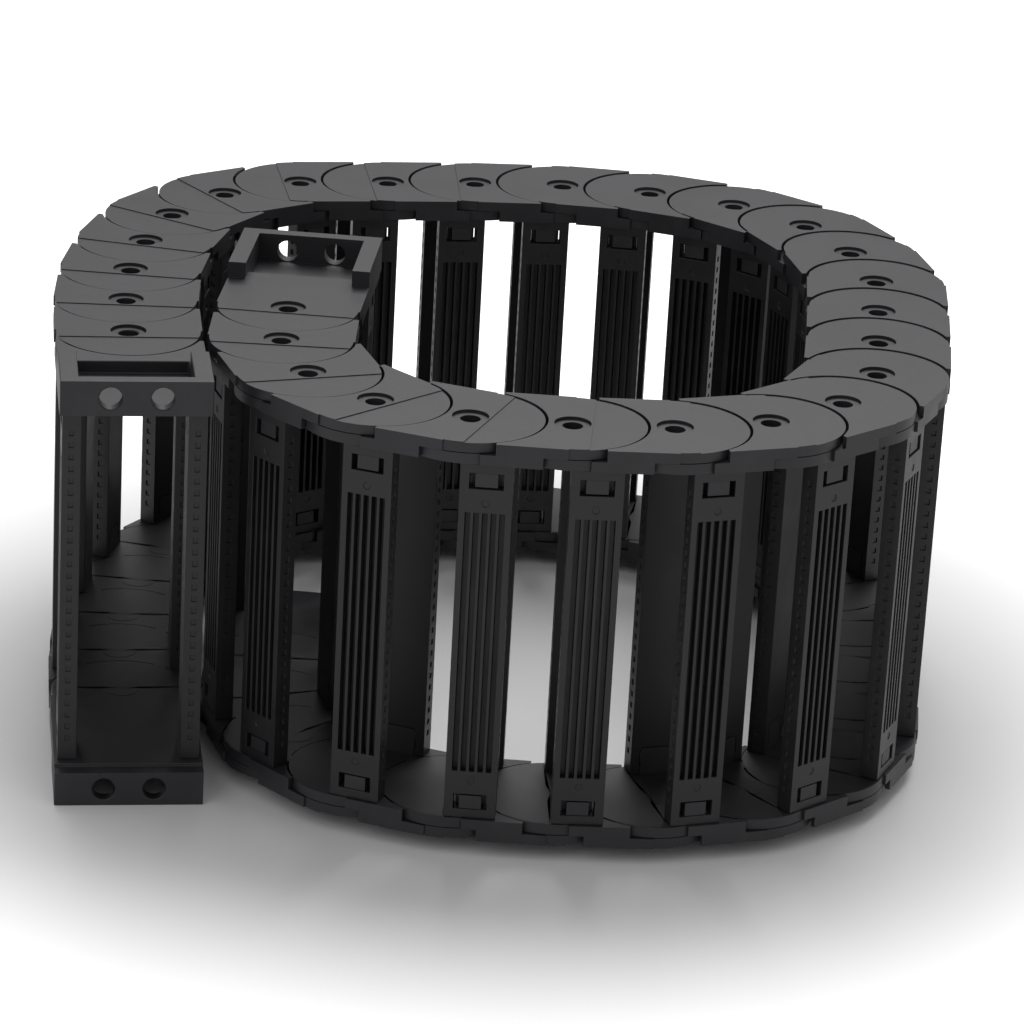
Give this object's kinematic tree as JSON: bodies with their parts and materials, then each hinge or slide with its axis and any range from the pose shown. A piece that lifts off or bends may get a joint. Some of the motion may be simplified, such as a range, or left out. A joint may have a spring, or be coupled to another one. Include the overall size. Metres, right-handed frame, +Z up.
{
  "type": "cable drag chain",
  "caption": "Bridge-type cable chain of black plastic links with clip-on crossbars, curled up on its side, with a screw-on bracket at each end.",
  "frame": {"origin": "centre of the fixed bracket's four screw holes, on the outside of its end walls", "axes": "+Y from the fixed bracket's end walls into the chain, +Z up along the hinge axes, with the chain standing on its side"},
  "size_m": [0.3201, 0.3143, 0.1516],
  "materials": {
    "side_plates": "moulded black polyamide, fine satin texture",
    "crossbars": "moulded black polyamide, smooth satin"
  },
  "bodies": {
    "fixed_bracket": {"fixed_bracket_upper": "side_plates", "fixed_bracket_lower": "side_plates", "fixed_bracket_outer_bar": "crossbars", "fixed_bracket_inner_bar": "crossbars"},
    "link_01": {"link_01_side_plates": "side_plates", "link_01_crossbars": "crossbars"},
    "link_02": {"link_02_side_plates": "side_plates", "link_02_crossbars": "crossbars"},
    "link_03": {"link_03_side_plates": "side_plates", "link_03_crossbars": "crossbars"},
    "link_04": {"link_04_side_plates": "side_plates", "link_04_crossbars": "crossbars"},
    "link_05": {"link_05_side_plates": "side_plates", "link_05_crossbars": "crossbars"},
    "link_06": {"link_06_side_plates": "side_plates", "link_06_crossbars": "crossbars"},
    "link_07": {"link_07_side_plates": "side_plates", "link_07_crossbars": "crossbars"},
    "link_08": {"link_08_side_plates": "side_plates", "link_08_crossbars": "crossbars"},
    "link_09": {"link_09_side_plates": "side_plates", "link_09_crossbars": "crossbars"},
    "link_10": {"link_10_side_plates": "side_plates", "link_10_crossbars": "crossbars"},
    "link_11": {"link_11_side_plates": "side_plates", "link_11_crossbars": "crossbars"},
    "link_12": {"link_12_side_plates": "side_plates", "link_12_crossbars": "crossbars"},
    "link_13": {"link_13_side_plates": "side_plates", "link_13_crossbars": "crossbars"},
    "link_14": {"link_14_side_plates": "side_plates", "link_14_crossbars": "crossbars"},
    "link_15": {"link_15_side_plates": "side_plates", "link_15_crossbars": "crossbars"},
    "link_16": {"link_16_side_plates": "side_plates", "link_16_crossbars": "crossbars"},
    "link_17": {"link_17_side_plates": "side_plates", "link_17_crossbars": "crossbars"},
    "link_18": {"link_18_side_plates": "side_plates", "link_18_crossbars": "crossbars"},
    "link_19": {"link_19_side_plates": "side_plates", "link_19_crossbars": "crossbars"},
    "link_20": {"link_20_side_plates": "side_plates", "link_20_crossbars": "crossbars"},
    "link_21": {"link_21_side_plates": "side_plates", "link_21_crossbars": "crossbars"},
    "link_22": {"link_22_side_plates": "side_plates", "link_22_crossbars": "crossbars"},
    "link_23": {"link_23_side_plates": "side_plates", "link_23_crossbars": "crossbars"},
    "link_24": {"link_24_side_plates": "side_plates", "link_24_crossbars": "crossbars"},
    "link_25": {"link_25_side_plates": "side_plates", "link_25_crossbars": "crossbars"},
    "link_26": {"link_26_side_plates": "side_plates", "link_26_crossbars": "crossbars"},
    "moving_bracket": {"moving_bracket_upper": "side_plates", "moving_bracket_lower": "side_plates", "moving_bracket_outer_bar": "crossbars", "moving_bracket_inner_bar": "crossbars"}
  },
  "joints": [
    {"name": "hinge_01", "type": "hinge", "parent": "fixed_bracket", "child": "link_01", "pos_m": [0, 0.067, 0], "axis": [0, 0, -1], "range_deg": [-1.03, 24.62]},
    {"name": "hinge_02", "type": "hinge", "parent": "link_01", "child": "link_02", "pos_m": [0.0006, 0.10029, 0], "axis": [0, 0, -1], "range_deg": [-4.11, 21.55]},
    {"name": "hinge_03", "type": "hinge", "parent": "link_02", "child": "link_03", "pos_m": [0.00357, 0.13346, 0], "axis": [0, 0, -1], "range_deg": [-6.67, 18.98]},
    {"name": "hinge_04", "type": "hinge", "parent": "link_03", "child": "link_04", "pos_m": [0.01038, 0.16606, 0], "axis": [0, 0, -1], "range_deg": [-7.7, 17.95]},
    {"name": "hinge_05", "type": "hinge", "parent": "link_04", "child": "link_05", "pos_m": [0.0215, 0.19745, 0], "axis": [0, 0, -1], "range_deg": [-19.5, 6.16]},
    {"name": "hinge_06", "type": "hinge", "parent": "link_05", "child": "link_06", "pos_m": [0.04245, 0.22333, 0], "axis": [0, 0, -1], "range_deg": [-23.09, 2.56]},
    {"name": "hinge_07", "type": "hinge", "parent": "link_06", "child": "link_07", "pos_m": [0.07188, 0.23892, 0], "axis": [0, 0, -1], "range_deg": [-25.65, 0]},
    {"name": "hinge_08", "type": "hinge", "parent": "link_07", "child": "link_08", "pos_m": [0.10515, 0.24024, 0], "axis": [0, 0, -1], "range_deg": [-1.54, 24.11]},
    {"name": "hinge_09", "type": "hinge", "parent": "link_08", "child": "link_09", "pos_m": [0.13845, 0.24066, 0], "axis": [0, 0, -1], "range_deg": [-4.11, 21.55]},
    {"name": "hinge_10", "type": "hinge", "parent": "link_09", "child": "link_10", "pos_m": [0.17169, 0.2387, 0], "axis": [0, 0, -1], "range_deg": [-10.26, 15.39]},
    {"name": "hinge_11", "type": "hinge", "parent": "link_10", "child": "link_11", "pos_m": [0.20405, 0.23085, 0], "axis": [0, 0, -1], "range_deg": [-12.83, 12.82]},
    {"name": "hinge_12", "type": "hinge", "parent": "link_11", "child": "link_12", "pos_m": [0.23386, 0.21601, 0], "axis": [0, 0, -1], "range_deg": [-20.01, 5.64]},
    {"name": "hinge_13", "type": "hinge", "parent": "link_12", "child": "link_13", "pos_m": [0.25679, 0.19186, 0], "axis": [0, 0, -1], "range_deg": [-24.62, 1.03]},
    {"name": "hinge_14", "type": "hinge", "parent": "link_13", "child": "link_14", "pos_m": [0.26758, 0.16036, 0], "axis": [0, 0, -1], "range_deg": [-13.85, 11.8]},
    {"name": "hinge_15", "type": "hinge", "parent": "link_14", "child": "link_15", "pos_m": [0.27051, 0.12719, 0], "axis": [0, 0, -1], "range_deg": [-15.39, 10.26]},
    {"name": "hinge_16", "type": "hinge", "parent": "link_15", "child": "link_16", "pos_m": [0.26453, 0.09443, 0], "axis": [0, 0, -1], "range_deg": [-1.03, 24.62]},
    {"name": "hinge_17", "type": "hinge", "parent": "link_16", "child": "link_17", "pos_m": [0.25796, 0.06178, 0], "axis": [0, 0, -1], "range_deg": [-1.03, 24.62]},
    {"name": "hinge_18", "type": "hinge", "parent": "link_17", "child": "link_18", "pos_m": [0.25081, 0.02926, 0], "axis": [0, 0, -1], "range_deg": [-18.98, 6.67]},
    {"name": "hinge_19", "type": "hinge", "parent": "link_18", "child": "link_19", "pos_m": [0.23347, 0.00083, 0], "axis": [0, 0, -1], "range_deg": [-24.62, 1.03]},
    {"name": "hinge_20", "type": "hinge", "parent": "link_19", "child": "link_20", "pos_m": [0.20586, -0.01779, 0], "axis": [0, 0, -1], "range_deg": [-23.6, 2.05]},
    {"name": "hinge_21", "type": "hinge", "parent": "link_20", "child": "link_21", "pos_m": [0.17311, -0.02379, 0], "axis": [0, 0, -1], "range_deg": [-15.39, 10.26]},
    {"name": "hinge_22", "type": "hinge", "parent": "link_21", "child": "link_22", "pos_m": [0.13994, -0.02089, 0], "axis": [0, 0, -1], "range_deg": [-5.64, 20.01]},
    {"name": "hinge_23", "type": "hinge", "parent": "link_22", "child": "link_23", "pos_m": [0.10721, -0.01474, 0], "axis": [0, 0, -1], "range_deg": [-16.93, 8.72]},
    {"name": "hinge_24", "type": "hinge", "parent": "link_23", "child": "link_24", "pos_m": [0.07769, 0.00068, 0], "axis": [0, 0, -1], "range_deg": [-25.65, 0]},
    {"name": "hinge_25", "type": "hinge", "parent": "link_24", "child": "link_25", "pos_m": [0.05776, 0.02735, 0], "axis": [0, 0, -1], "range_deg": [-25.65, 0]},
    {"name": "hinge_26", "type": "hinge", "parent": "link_25", "child": "link_26", "pos_m": [0.05134, 0.06003, 0], "axis": [0, 0, -1], "range_deg": [-19.5, 6.16]},
    {"name": "hinge_27", "type": "hinge", "parent": "link_26", "child": "moving_bracket", "pos_m": [0.05619, 0.09297, 0], "axis": [0, 0, -1], "range_deg": [-3.59, 22.06]}
  ],
  "couplings": [
    {"joint": "hinge_01", "follows": "hinge_07", "ratio": 0.04},
    {"joint": "hinge_02", "follows": "hinge_07", "ratio": 0.16},
    {"joint": "hinge_03", "follows": "hinge_07", "ratio": 0.26},
    {"joint": "hinge_04", "follows": "hinge_07", "ratio": 0.3},
    {"joint": "hinge_05", "follows": "hinge_07", "ratio": 0.76},
    {"joint": "hinge_06", "follows": "hinge_07", "ratio": 0.9},
    {"joint": "hinge_08", "follows": "hinge_07", "ratio": 0.06},
    {"joint": "hinge_09", "follows": "hinge_07", "ratio": 0.16},
    {"joint": "hinge_10", "follows": "hinge_07", "ratio": 0.4},
    {"joint": "hinge_11", "follows": "hinge_07", "ratio": 0.5},
    {"joint": "hinge_12", "follows": "hinge_07", "ratio": 0.78},
    {"joint": "hinge_13", "follows": "hinge_07", "ratio": 0.96},
    {"joint": "hinge_14", "follows": "hinge_07", "ratio": 0.54},
    {"joint": "hinge_15", "follows": "hinge_07", "ratio": 0.6},
    {"joint": "hinge_16", "follows": "hinge_07", "ratio": 0.04},
    {"joint": "hinge_17", "follows": "hinge_07", "ratio": 0.04},
    {"joint": "hinge_18", "follows": "hinge_07", "ratio": 0.74},
    {"joint": "hinge_19", "follows": "hinge_07", "ratio": 0.96},
    {"joint": "hinge_20", "follows": "hinge_07", "ratio": 0.92},
    {"joint": "hinge_21", "follows": "hinge_07", "ratio": 0.6},
    {"joint": "hinge_22", "follows": "hinge_07", "ratio": 0.22},
    {"joint": "hinge_23", "follows": "hinge_07", "ratio": 0.66},
    {"joint": "hinge_24", "follows": "hinge_07", "ratio": 1},
    {"joint": "hinge_25", "follows": "hinge_07", "ratio": 1},
    {"joint": "hinge_26", "follows": "hinge_07", "ratio": 0.76},
    {"joint": "hinge_27", "follows": "hinge_07", "ratio": 0.14}
  ]
}
